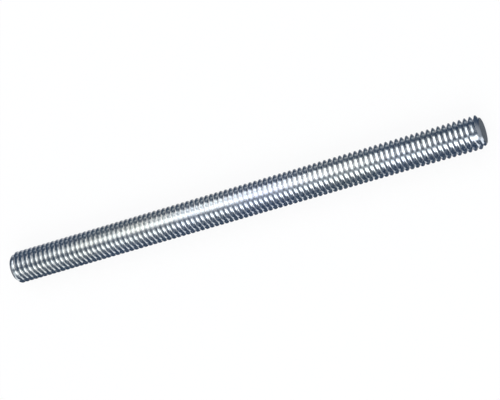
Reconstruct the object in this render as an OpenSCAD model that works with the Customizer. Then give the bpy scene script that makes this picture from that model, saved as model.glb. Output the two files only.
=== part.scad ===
// Metric threaded rod, cut square and chamfered at both ends.
// The rod lies along +X. The origin is the centre of its left end face.
// The thread is right-handed and runs from one end to the other.

/* [Thread] */
// Nominal size of the thread
thread_d = 8; // [6:0.5:16]
// Distance from one crest to the next
pitch = 1.25; // [1.1:0.05:1.75]
// How far the finished thread lies under its nominal diameter
undersize = 0.28; // [0:0.01:0.4]
// Angle between the two flanks of a groove
flank_angle = 60; // [50:1:65]

/* [Ends] */
// Length from end face to end face
length = 120; // [20:1:135]
// Radial step from the root of the thread down to the rim of an end face
end_step = 0.15; // [0.1:0.05:1]
// Angle between a chamfer and the rod's axis
chamfer_angle = 45; // [30:5:60]

/* [Facets] */
// Steps that make up one turn of the thread
turn_steps = 14; // [8:1:16]

/* [Hidden] */

// The sharp triangle of the thread form, and the shares cut off its tip and its bottom
sharp_h = pitch / 2 / tan(flank_angle / 2);
crest_cut = 1 / 8;
root_cut = 1 / 6;
crest_r = (thread_d - undersize) / 2;
root_r = crest_r - sharp_h * (1 - crest_cut - root_cut);

// One pitch of the profile, as [place along the rod, radius]:
// crest flat, falling flank, root flat, and the rising flank to the next crest
crest_half = pitch * crest_cut / 2;
root_half = pitch * root_cut / 2;
profile = [
    [-crest_half, crest_r],
    [crest_half, crest_r],
    [pitch / 2 - root_half, root_r],
    [pitch / 2 + root_half, root_r]
];
corners = len(profile);

// The helix starts and stops one pitch outside the rod, so both ends are cut clean
turns = ceil(length / pitch) + 2;
steps = turns * turn_steps;

// Rim of the end faces, and a blank that clears the crests between its chamfers
end_r = root_r - end_step;
blank_r = crest_r + pitch;
chamfer_l = (blank_r - end_r) / tan(chamfer_angle);
blank_fn = 96;

// Corner j of the profile, carried k steps along a right-handed helix
function helix_point(k, j) =
    let (turn = k / turn_steps, r = profile[j][1])
    [r * cos(360 * turn), r * sin(360 * turn), (turn - 1) * pitch + profile[j][0]];

// Where that corner stands in the list of points. The corner after the last one is the
// first corner of the next turn, and the last turn has first corners only.
function index(k, j) =
    j == corners ? index(k + turn_steps, 0)
    : k <= steps ? k * corners + j
    : (steps + 1) * corners + k - steps - 1;

// The open edge of the helix: one turn of the line of first corners, closed along row k
function rim(k) = [
    for (i = [k : k + turn_steps]) index(i, 0),
    for (j = [corners - 1 : -1 : 1]) index(k, j)
];

// A fan of triangles from point a to each edge of a rim
function fan(a, edge) = [for (i = [0 : len(edge) - 1]) [a, edge[i], edge[(i + 1) % len(edge)]]];

function reversed(faces) = [for (f = faces) [f[0], f[2], f[1]]];

// The threaded core along +Z, closed by a fan at each end
module helix() {
    points = [
        for (k = [0 : steps], j = [0 : corners - 1]) helix_point(k, j),
        for (k = [steps + 1 : steps + turn_steps]) helix_point(k, 0),
        [0, 0, -2 * pitch],
        [0, 0, turns * pitch]
    ];
    hub = len(points) - 2;
    strips = [
        for (k = [0 : steps - 1], j = [0 : corners - 1])
            [index(k, j), index(k + 1, j), index(k + 1, j + 1), index(k, j + 1)]
    ];
    polyhedron(points, concat(strips, fan(hub, rim(0)), reversed(fan(hub + 1, rim(steps)))));
}

// A turned bar with a long chamfer at each end
module blank() {
    rotate_extrude($fn = blank_fn)
        polygon([
            [0, 0],
            [end_r, 0],
            [blank_r, chamfer_l],
            [blank_r, length - chamfer_l],
            [end_r, length],
            [0, length]
        ]);
}

module threaded_rod() {
    color("#9aa3ad")
        rotate([0, 90, 0])
            intersection() {
                helix();
                blank();
            }
}

threaded_rod();
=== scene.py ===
import math

import bpy
import bmesh
import numpy as np
from mathutils import Matrix, Vector


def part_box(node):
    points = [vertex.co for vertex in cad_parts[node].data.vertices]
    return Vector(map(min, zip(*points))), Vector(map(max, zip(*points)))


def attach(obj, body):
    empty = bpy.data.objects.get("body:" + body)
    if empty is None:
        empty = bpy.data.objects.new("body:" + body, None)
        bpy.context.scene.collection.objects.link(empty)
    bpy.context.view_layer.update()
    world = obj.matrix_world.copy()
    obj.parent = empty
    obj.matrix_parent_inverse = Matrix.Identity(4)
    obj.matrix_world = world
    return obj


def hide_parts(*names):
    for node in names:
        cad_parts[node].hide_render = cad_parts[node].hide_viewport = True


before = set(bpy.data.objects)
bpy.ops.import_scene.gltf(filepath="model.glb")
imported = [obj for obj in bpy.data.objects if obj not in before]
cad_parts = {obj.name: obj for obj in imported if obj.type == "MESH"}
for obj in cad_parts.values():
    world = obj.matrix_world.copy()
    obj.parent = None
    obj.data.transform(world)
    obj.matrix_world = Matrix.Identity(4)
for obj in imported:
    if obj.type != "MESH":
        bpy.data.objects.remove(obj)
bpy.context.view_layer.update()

scene = bpy.context.scene
scene.view_settings.view_transform = "Standard"

mm = 0.001
rodLow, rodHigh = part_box("threaded_rod")
rodLength = rodHigh.x - rodLow.x
crestRadius = (rodHigh.z - rodLow.z) / 2
rodAxis = Vector((1, 0, 0))


def linear(hexColour):
    # an sRGB hex colour as the linear values that Cycles works in
    parts = [int(hexColour[i:i + 2], 16) / 255 for i in (0, 2, 4)]
    return [p / 12.92 if p <= 0.04045 else ((p + 0.055) / 1.055) ** 2.4 for p in parts] + [1.0]


def towards(theta, beta):
    # a direction round the rod: theta turns from straight up towards +Y,
    # beta leans along the rod towards +X.
    # (sin beta, cos beta sin theta, cos beta cos theta), for numbers or arrays
    t, b = np.radians(theta), np.radians(beta)
    return np.stack([np.sin(b) + 0 * t, np.cos(b) * np.sin(t), np.cos(b) * np.cos(t)], -1)


# camera: above the rod, leaning towards its near end, so the far end runs off small
view = {
    "obliquity": 19.0,              # degrees off square to the rod
    "lean": 16.4,                   # degrees that the rod rises to the right in the picture
    "lens": 126.8,                  # mm on a 36 mm sensor
    "distance": 409.0 * mm,
    "along": 62.96 * mm,            # where the middle of the picture falls on the rod
    "lift": 0.136 * mm,             # how far the rod's axis lies above the middle
    "nearest": 0.01,                # metres from the camera between which things show
    "farthest": 20,
}


def makeCamera(view):
    # the picture's right is the rod's own direction, turned back by the lean
    toCamera = Vector(towards(0, view["obliquity"]))
    along = (rodAxis - toCamera * rodAxis.dot(toCamera)).normalized()
    right = Matrix.Rotation(math.radians(-view["lean"]), 3, toCamera) @ along
    up = toCamera.cross(right)
    data = bpy.data.cameras.new("camera")
    data.lens, data.sensor_width = view["lens"], 36
    data.clip_start, data.clip_end = view["nearest"], view["farthest"]
    camera = bpy.data.objects.new("camera", data)
    scene.collection.objects.link(camera)
    place = Vector((view["along"], 0, 0)) + toCamera * view["distance"] - up * view["lift"]
    turn = Matrix((right, up, toCamera)).transposed()
    camera.matrix_world = Matrix.LocRotScale(place, turn, None)
    scene.camera = camera


makeCamera(view)
print("camera: done")


# the rolled thread, end to end in one surface
thread = {
    "pitch": 1.25 * mm,
    "flankAngle": 60.0,             # degrees between the two flanks of a groove
    "crestCut": 1 / 8,              # shares of the sharp height cut off crest and root
    "rootCut": 1 / 6,
    "phase": 1 / 4,                 # turns from the end face to the first crest, on the +Y side
    "crestEdge": 0.07 * mm,         # radii where the flats meet the flanks
    "rootEdge": 0.14 * mm,
    "edgePoints": 3,                # points to each rounded edge
    "endStep": 0.15 * mm,           # from the root down to the rim of an end face
    "chamferAngle": 45.0,
    "surplusTurns": 3,              # made beyond the end faces and cut off there
    "turnsBefore": 2,               # how many of these lie before the first end face
    "stepsPerTurn": 64,
}


def roundedCorner(corner, before, after, radius, count):
    # an arc tangent to both legs of a corner. It starts radius tan(turn / 2) before the
    # corner, and point(a) = centre + radius (cos a, sin a)
    inward, outward = corner - before, after - corner
    start, stop = math.atan2(inward[1], inward[0]), math.atan2(outward[1], outward[0])
    turn = stop - start
    side = math.copysign(1, turn)
    tangent = corner - inward / np.hypot(*inward) * radius * math.tan(abs(turn) / 2)
    centre = tangent + side * radius * np.array([-math.sin(start), math.cos(start)])
    a = start - side * math.pi / 2 + np.linspace(0, turn, count)
    return centre + radius * np.stack([np.cos(a), np.sin(a)], 1)


def threadProfile(thread):
    # one pitch as (place along the rod, radius): crest flat, flank, root flat, flank
    half = math.radians(thread["flankAngle"] / 2)
    pitch = thread["pitch"]
    sharp = pitch / 2 / math.tan(half)
    rootRadius = crestRadius - sharp * (1 - thread["crestCut"] - thread["rootCut"])
    crest, root = pitch * thread["crestCut"] / 2, pitch * thread["rootCut"] / 2
    corners = np.array([[-crest, crestRadius], [crest, crestRadius],
                        [pitch / 2 - root, rootRadius], [pitch / 2 + root, rootRadius]])
    before = np.roll(corners, 1, 0) - [[pitch, 0], [0, 0], [0, 0], [0, 0]]
    after = np.roll(corners, -1, 0) + [[0, 0], [0, 0], [0, 0], [pitch, 0]]
    edges = [thread["crestEdge"], thread["crestEdge"], thread["rootEdge"], thread["rootEdge"]]
    return np.concatenate([roundedCorner(c, b, a, e, thread["edgePoints"])
                           for c, b, a, e in zip(corners, before, after, edges)]), rootRadius


def meshFrom(name, points, faces, uv, attributes):
    # merges doubles, turns the faces outwards, and gives each point the mean of the
    # normals round it, each counted by the area of its face
    weldWithin = 1e-7               # metres
    shortest = 1e-20                # keeps a point without a face from a division by nothing
    mesh = bpy.data.meshes.new(name)
    mesh.from_pydata(points.tolist(), [], faces.tolist())
    mesh.uv_layers.new(name="rollFlow").data.foreach_set("uv", uv.ravel())
    for title, values in attributes.items():
        mesh.attributes.new(title, "FLOAT", "POINT").data.foreach_set("value", values.ravel())
    b = bmesh.new()
    b.from_mesh(mesh)
    bmesh.ops.remove_doubles(b, verts=b.verts, dist=weldWithin)
    bmesh.ops.recalc_face_normals(b, faces=b.faces)
    b.to_mesh(mesh)
    b.free()
    mesh.polygons.foreach_set("use_smooth", np.ones(len(mesh.polygons), bool))
    mesh.update()
    mesh.calc_loop_triangles()
    place = np.empty(len(mesh.vertices) * 3, np.float32)
    mesh.vertices.foreach_get("co", place)
    place = place.reshape(-1, 3)
    corner = np.empty(len(mesh.loop_triangles) * 3, np.int32)
    mesh.loop_triangles.foreach_get("vertices", corner)
    corner = corner.reshape(-1, 3)
    a, b, c = place[corner[:, 0]], place[corner[:, 1]], place[corner[:, 2]]
    facing = np.cross(b - a, c - a)
    normal = np.zeros_like(place)
    for k in range(3):
        np.add.at(normal, corner[:, k], facing)
    normal /= np.maximum(np.linalg.norm(normal, axis=1, keepdims=True), shortest)
    mesh.normals_split_custom_set_from_vertices(normal)
    piece = bpy.data.objects.new(name, mesh)
    scene.collection.objects.link(piece)
    return piece


def makeThread(thread):
    # point(a, t) = (pitch (t + a / 2 pi + phase), r cos a, r sin a), with r(t) repeating
    # every pitch. x is held between the end faces, and r under the chamfer cones.
    profile, rootRadius = threadProfile(thread)
    pitch, m, n = thread["pitch"], len(profile), thread["stepsPerTurn"]
    endRadius = rootRadius - thread["endStep"]
    first = thread["phase"] - thread["turnsBefore"]
    turns = math.ceil(rodLength / pitch) + thread["surplusTurns"]
    place = (profile[:, 0] + pitch * (np.arange(turns)[:, None] + first)).ravel()
    radius = np.tile(profile[:, 1], turns)
    a = 2 * np.pi * np.arange(n)[:, None] / n
    x = np.clip(place + pitch * a / (2 * np.pi), 0, rodLength)
    slope = math.tan(math.radians(thread["chamferAngle"]))
    r = np.minimum(radius, endRadius + slope * np.minimum(x, rodLength - x))
    # two more columns close each end face: half way in, and the middle
    hub = np.array([[0, endRadius / 2]])
    x = np.concatenate([np.zeros((n, 2)), x, np.full((n, 2), rodLength)], 1)
    r = np.concatenate([np.repeat(hub, n, 0), r, np.repeat(hub[:, ::-1], n, 0)], 1)
    points = np.stack([rodLow.x + x, r * np.cos(a), r * np.sin(a)], 2)
    depth = np.clip((crestRadius - r) / (crestRadius - rootRadius), 0, 1)

    # the seam joins column c of the last row to column c + m of the first one
    columns = points.shape[1]
    index = np.arange(n * columns).reshape(n, columns)
    c = np.arange(columns)
    inside = (c >= 2) & (c < columns - 2)
    partner = np.where(inside, np.minimum(c + m, columns - 3), c)
    rows = np.concatenate([index, index[:1, partner]], 0)
    faces = np.stack([rows[:-1, :-1], rows[:-1, 1:], rows[1:, 1:], rows[1:, :-1]], -1)

    # flow map in mm: u runs along the helix, v across the profile
    step = np.hypot(*np.diff(np.vstack([profile, profile[:1] + [[pitch, 0]]]), axis=0).T)
    across = np.concatenate([[0], np.cumsum(step)]) / mm
    k = np.clip(np.arange(columns - 1) - 2, 0, None)
    turnOf, slot = k // m, k % m
    row = np.arange(n)[:, None]
    u = np.stack([(row + s) / n + turnOf for s in (0, 0, 1, 1)], -1) * 2 * np.pi * crestRadius / mm
    v = np.broadcast_to(np.stack([across[slot + s] for s in (0, 1, 1, 0)], -1), u.shape)
    piece = meshFrom("rolledThreadRod", points.reshape(-1, 3), faces.reshape(-1, 4),
                     np.stack([u, v], -1), {"grooveDepth": depth})
    # the two sawn faces, which look straight along the rod, take the second material
    straight = 0.99                 # cosine of the angle off the rod that counts as along it
    sides = piece.data.polygons
    facing = np.empty(len(sides) * 3, np.float32)
    sides.foreach_get("normal", facing)
    sides.foreach_set("material_index", (np.abs(facing[::3]) > straight).astype(np.int32))
    return piece


rod = makeThread(thread)
print("thread: done,", len(rod.data.polygons), "faces")


def node(tree, kind, settings=(), **links):
    # adds a node, sets its inputs or fields, and links its inputs
    made = tree.nodes.new(kind)
    for name, value in dict(settings).items():
        if hasattr(made, str(name)):
            setattr(made, name, value)
        else:
            made.inputs[name].default_value = value
    for name, source in links.items():
        key = int(name[1:]) if name[1:].isdigit() else name.replace("_", " ")
        tree.links.new(source, made.inputs[key])
    return made


def newTree(owner):
    owner.use_nodes = True
    owner.node_tree.nodes.clear()
    return owner.node_tree


# bright zinc plate, clear passivated, over a thread rolled in low-carbon steel. It gives the
# eye a blue-white metal that mirrors softly, with faint violet and straw tints where the
# clear film is thicker. The plate is dull down in the roots, and its colour there is painted
# darker as shade; the rolling dies leave fine streaks along the helix.
zinc = {
    # root: a darker colour down in the roots of the thread, painted shade
    "bright": "e0e8ee", "violet": "dae3f1", "straw": "e3e9ea", "root": "c6ced8",
    "strawAt": 0.36, "brightAt": 0.48, "violetAt": 0.66,    # of the tint noise, from 0 to 1
    "tintPatch": 25 * mm,
    "tintShift": -28 * mm,          # slides the patches along the rod
    "streakLength": 3.0,            # mm along the helix
    "streakWidth": 0.22,            # mm across; real ones are 0.02 mm, too fine to show
    "streakHeight": 0.006 * mm,
    "grainSize": 0.5 * mm,          # mottle of the plate; real grains are far finer
    "dentHeight": 0.02 * mm,        # small dents from rolling and handling
    "roughness": 0.13,
    "smoothest": 0.75, "roughest": 1.35,    # times that, where the mottle is lowest and highest
    "rootRoughness": 0.22,
    "streakShare": 0.25,            # how far the streaks make the edge of the dull, shade-painted root uneven
    "paintedShadeAndDullFrom": 1.02, "paintedShadeAndDullTo": 1.24,       # depth plus that share where the root turns dull and is painted darker as shade
}


def zincPlate(zinc):
    material = bpy.data.materials.new("brightZincPlate")
    tree = newTree(material)
    place = node(tree, "ShaderNodeTexCoord")
    flow = node(tree, "ShaderNodeUVMap", {"uv_map": "rollFlow"})
    depth = node(tree, "ShaderNodeAttribute", {"attribute_name": "grooveDepth"})

    # tint of the clear film, in patches over about twenty threads
    slide = node(tree, "ShaderNodeMapping", {"Location": (zinc["tintShift"], 0, 0)},
                 Vector=place.outputs["Object"])
    patch = node(tree, "ShaderNodeTexNoise", {"Scale": 1 / zinc["tintPatch"], "Detail": 2.0},
                 Vector=slide.outputs["Vector"])
    film = node(tree, "ShaderNodeValToRGB", Fac=patch.outputs["Fac"])
    ramp = film.color_ramp
    ramp.elements[0].position, ramp.elements[0].color = zinc["strawAt"], linear(zinc["straw"])
    ramp.elements[1].position, ramp.elements[1].color = zinc["violetAt"], linear(zinc["violet"])
    ramp.elements.new(zinc["brightAt"]).color = linear(zinc["bright"])

    # streaks: noise drawn out along the helix on the flow map, which is in mm
    stretch = node(tree, "ShaderNodeMapping", {
        "Scale": (1 / zinc["streakLength"], 1 / zinc["streakWidth"], 1)}, Vector=flow.outputs["UV"])
    streak = node(tree, "ShaderNodeTexNoise", {"Scale": 1.0, "Detail": 2.0, "Roughness": 0.6},
                  Vector=stretch.outputs["Vector"])
    grain = node(tree, "ShaderNodeTexNoise", {"Scale": 1 / zinc["grainSize"], "Detail": 3.0},
                 Vector=place.outputs["Object"])

    # how far a point lies down in the root, with the streaks making its edge uneven
    down = node(tree, "ShaderNodeMath", {"operation": "MULTIPLY_ADD", 1: zinc["streakShare"]},
                _0=streak.outputs["Fac"], _2=depth.outputs["Fac"])
    # painted shade and real dullness: down in the roots the colour turns darker and the roughness
    # duller
    dullAndPaintedShade = node(tree, "ShaderNodeMapRange", {
        "interpolation_type": "SMOOTHSTEP", "From Min": zinc["paintedShadeAndDullFrom"],
        "From Max": zinc["paintedShadeAndDullTo"]}, Value=down.outputs[0])
    # mixes in the darker root colour, painted shade
    colour = node(tree, "ShaderNodeMix", {"data_type": "RGBA", 7: linear(zinc["root"])},
                  _0=dullAndPaintedShade.outputs[0], _6=film.outputs["Color"])

    # the mottle seldom leaves the middle part of its range, from 0.3 to 0.7
    rough = node(tree, "ShaderNodeMapRange", {
        "From Min": 0.3, "From Max": 0.7, "To Min": zinc["roughness"] * zinc["smoothest"],
        "To Max": zinc["roughness"] * zinc["roughest"]}, Value=grain.outputs["Fac"])
    rough = node(tree, "ShaderNodeMix", {"data_type": "FLOAT", 3: zinc["rootRoughness"]},
                 _0=dullAndPaintedShade.outputs[0], _2=rough.outputs[0])

    # streaks in relief, and the dents over them
    bump = node(tree, "ShaderNodeBump", {"Distance": zinc["streakHeight"], "Strength": 1.0},
                Height=streak.outputs["Fac"])
    bump = node(tree, "ShaderNodeBump", {"Distance": zinc["dentHeight"], "Strength": 1.0},
                Height=grain.outputs["Fac"], Normal=bump.outputs[0])
    shader = node(tree, "ShaderNodeBsdfPrincipled", {"Metallic": 1.0},
                  Base_Color=colour.outputs[2], Roughness=rough.outputs[0],
                  Normal=bump.outputs[0])
    node(tree, "ShaderNodeOutputMaterial", Surface=shader.outputs[0])
    return material


rod.data.materials.append(zincPlate(zinc))


# the end faces: bare low-carbon steel, sawn off after plating. The blade leaves straight
# parallel scores across a duller, greyer metal.
sawn = {
    "steel": "c6cacd", "shade": "a2a8ad",
    "scoreSpacing": 0.5 * mm,       # real scores are about 0.1 mm apart, too fine to show
    "scoreHeight": 0.015 * mm,
    "scoreAngle": 28.0,             # degrees that the saw cut lies off level
    "scoreWander": 3.0,             # how far the scores stray from straight
    "roughness": 0.45,
}


def sawnSteel(sawn):
    material = bpy.data.materials.new("sawnSteelEnd")
    tree = newTree(material)
    place = node(tree, "ShaderNodeTexCoord")
    turn = node(tree, "ShaderNodeMapping", {"Rotation": (math.radians(sawn["scoreAngle"]), 0, 0)},
                Vector=place.outputs["Object"])
    # a band repeats every 2 pi / (20 scale)
    score = node(tree, "ShaderNodeTexWave", {
        "bands_direction": "Z", "Scale": math.pi / 10 / sawn["scoreSpacing"],
        "Distortion": sawn["scoreWander"], "Detail": 2.0, "Detail Scale": 0.6},
        Vector=turn.outputs["Vector"])
    colour = node(tree, "ShaderNodeMix", {"data_type": "RGBA", 6: linear(sawn["shade"]),
                                          7: linear(sawn["steel"])}, _0=score.outputs["Fac"])
    bump = node(tree, "ShaderNodeBump", {"Distance": sawn["scoreHeight"], "Strength": 1.0},
                Height=score.outputs["Fac"])
    shader = node(tree, "ShaderNodeBsdfPrincipled", {
        "Metallic": 1.0, "Roughness": sawn["roughness"]},
        Base_Color=colour.outputs[2], Normal=bump.outputs[0])
    node(tree, "ShaderNodeOutputMaterial", Surface=shader.outputs[0])
    return material


rod.data.materials.append(sawnSteel(sawn))
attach(rod, "root")
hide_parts("threaded_rod")
print("material: done")


# the studio: white floor and world, two softboxes, and painted reflections that only the metal
# sees: a tent that glows a dim dark colour, a painted dark reflection, with a slit that shows the
# white background, and a clear scrim close over the rod. Both carry soft patches of glow, which
# are painted highlights. Those on the scrim make the wide band along the top of the rod, which
# dies away towards its ends because the scrim is near. Those on the tent make the row of glints
# below it, the thin tails under them, and the lit ends.
# Patches are (theta, beta, width in theta, width in beta, strength), in degrees.
studio = {
    "shellStep": 3,                 # degrees between the points of the tent and the scrim
    "tentRadius": 0.5,
    # the tent's own dim glow: a painted dark reflection
    "tentPaintedDarkColour": "424f60",
    # glow patches on the tent: painted highlights
    "tentPaintedHighlights": [(-38, 10, 22, 30, 3.9), (-82, -18, 12, 9, 0.2), (-130, -19, 13, 7, 3.0),
                   (-100, -60, 20, 10, 3.5), (150, -5, 30, 15, 0.6), (180, 20, 15, 8, 0.3),
                   (0, 90, 500, 30, 0.3), (0, -90, 500, 30, 0.3)],    # the last two face the ends
    "slit": (-150, -55, 40, 65),    # theta from, to, beta from, to
    # colour of the tent's painted highlights
    "tentPaintedHighlightColour": "fff8ef",
    "scrimRadius": 0.12,
    # glow patches on the scrim: painted highlights
    "scrimPaintedHighlights": [(27, -22, 24, 23, 2.8), (-15, -20, 14, 15, 0.2), (67, -22, 17, 10, 2.7),
                   (58, -6, 24, 8, 0.4), (25, -30, 40, 8, 0.8), (115, -20, 35, 15, 0.1)],
    # colour of the scrim's painted highlights
    "scrimPaintedHighlightColour": "fff5ea",
    "floorColour": "fafafa",
    "floorSize": 3.0,
    "floorGap": 0.02 * mm,          # between the rod and the floor
    "floorShade": 0.10,             # how much of the floor's own shading the camera sees
    "roomColour": "d0d4da",         # what lights diffuse surfaces from all round
}
middle = Vector((view["along"], 0, 0))


def whiteBackground(tree, shader, white):
    # camera, glossy and transmission rays see the white shader, all others the first one
    path = node(tree, "ShaderNodeLightPath")
    seen = node(tree, "ShaderNodeMath", {"operation": "MAXIMUM"},
                _0=path.outputs["Is Camera Ray"], _1=path.outputs["Is Glossy Ray"])
    seen = node(tree, "ShaderNodeMath", {"operation": "MAXIMUM"},
                _0=seen.outputs[0], _1=path.outputs["Is Transmission Ray"])
    return node(tree, "ShaderNodeMixShader", (), _0=seen.outputs[0],
                _1=shader.outputs[0], _2=white.outputs[0])


world = bpy.data.worlds.new("studio")
world.cycles.sampling_method = "NONE"
scene.world = world
tree = newTree(world)
room = node(tree, "ShaderNodeBackground", {"Color": linear(studio["roomColour"])})
white = node(tree, "ShaderNodeBackground", {"Color": linear("ffffff")})
node(tree, "ShaderNodeOutputWorld", Surface=whiteBackground(tree, room, white).outputs[0])


def stageMesh(name, points, faces, material):
    mesh = bpy.data.meshes.new(name)
    mesh.from_pydata(points.tolist(), [], faces.tolist())
    mesh.materials.append(material)
    piece = bpy.data.objects.new(name, mesh)
    scene.collection.objects.link(piece)
    return piece


def makeFloor(studio):
    material = bpy.data.materials.new("paleFloor")
    tree = newTree(material)
    matt = node(tree, "ShaderNodeBsdfDiffuse", {"Color": linear(studio["floorColour"])})
    glow = node(tree, "ShaderNodeEmission", {"Color": linear("ffffff")})
    white = node(tree, "ShaderNodeMixShader", {"Fac": studio["floorShade"]},
                 _1=glow.outputs[0], _2=matt.outputs[0])
    node(tree, "ShaderNodeOutputMaterial", Surface=whiteBackground(tree, matt, white).outputs[0])
    s = studio["floorSize"]
    corners = np.array([[-s, -s, 0], [s, -s, 0], [s, s, 0], [-s, s, 0]]) / 2
    points = corners + [view["along"], 0, -crestRadius - studio["floorGap"]]
    floor = stageMesh("floor", points, np.array([[0, 1, 2, 3]]), material)
    floor.visible_glossy = False    # or the lower edge of the metal melts into the white floor


def makePaintedReflectionShell(name, radius, paintedHighlights, colour, backing, slit=None):
    # a sphere of point(theta, beta) = middle + radius * towards(theta, beta), less the slit.
    # glow = sum of strength * exp(-((dTheta / width)^2 + (dBeta / width)^2)^1.5)
    d = studio["shellStep"]
    theta, beta = np.meshgrid(np.arange(-180, 181, d), np.arange(-90, 91, d))
    points = np.array(middle) + radius * towards(theta, beta)
    glow = np.zeros(theta.shape)
    for t, b, wideT, wideB, strength in paintedHighlights:
        away = (theta - t + 180) % 360 - 180
        glow += strength * np.exp(-((away / wideT) ** 2 + ((beta - b) / wideB) ** 2) ** 1.5)
    index = np.arange(theta.size).reshape(theta.shape)
    faces = np.stack([index[:-1, :-1], index[:-1, 1:], index[1:, 1:], index[1:, :-1]], -1)
    if slit:
        t, b = theta[:-1, :-1] + d / 2, beta[:-1, :-1] + d / 2
        faces = faces[(t < slit[0]) | (t > slit[1]) | (b < slit[2]) | (b > slit[3])]

    material = bpy.data.materials.new(name)
    tree = newTree(material)
    # the tent's backing is a dim dark glow, a painted dark reflection; the scrim's is clear
    shellBacking = node(tree, *backing)
    patch = node(tree, "ShaderNodeAttribute", {"attribute_name": "glow"})
    # the glow patches: painted highlights that only glossy rays see
    light = node(tree, "ShaderNodeEmission", {"Color": linear(colour)}, Strength=patch.outputs["Fac"])
    both = node(tree, "ShaderNodeAddShader", (), _0=shellBacking.outputs[0], _1=light.outputs[0])
    node(tree, "ShaderNodeOutputMaterial", Surface=both.outputs[0])
    material.cycles.emission_sampling = "NONE"
    shell = stageMesh(name, points.reshape(-1, 3), faces.reshape(-1, 4), material)
    shell.data.attributes.new("glow", "FLOAT", "POINT").data.foreach_set("value", glow.ravel())
    shell.visible_camera = shell.visible_diffuse = shell.visible_shadow = False
    shell.visible_transmission = False


makeFloor(studio)
# the tent and the scrim: painted reflections, hidden from all rays but glossy ones
makePaintedReflectionShell("paintedReflectionTent", studio["tentRadius"], studio["tentPaintedHighlights"], studio["tentPaintedHighlightColour"],
          ("ShaderNodeEmission", {"Color": linear(studio["tentPaintedDarkColour"])}), studio["slit"])
makePaintedReflectionShell("paintedHighlightScrim", studio["scrimRadius"], studio["scrimPaintedHighlights"], studio["scrimPaintedHighlightColour"],
          ("ShaderNodeBsdfTransparent", ()))


softboxes = {                       # theta in degrees, sizes in metres, power in watts
    "lowerBox": {"theta": -40, "distance": 0.45, "height": 0.22, "length": 0.36, "power": 0.6},
    "upperBox": {"theta": 35, "distance": 0.45, "height": 0.26, "length": 0.48, "power": 0.6},
}


def makeSoftbox(name, box):
    # an area light beside the rod and parallel to it, which faces it from the angle theta
    out = Vector(towards(box["theta"], 0))
    data = bpy.data.lights.new(name, "AREA")
    data.shape = "RECTANGLE"
    data.size, data.size_y = box["length"], box["height"]
    data.energy = box["power"]
    lamp = bpy.data.objects.new(name, data)
    scene.collection.objects.link(lamp)
    lamp.visible_glossy = False     # the metal sees the painted highlights on tent and scrim instead
    lamp.matrix_world = Matrix.LocRotScale(
        middle + out * box["distance"],
        Matrix((rodAxis, out.cross(rodAxis), out)).transposed(), None)


for name, box in softboxes.items():
    makeSoftbox(name, box)
print("studio: done")
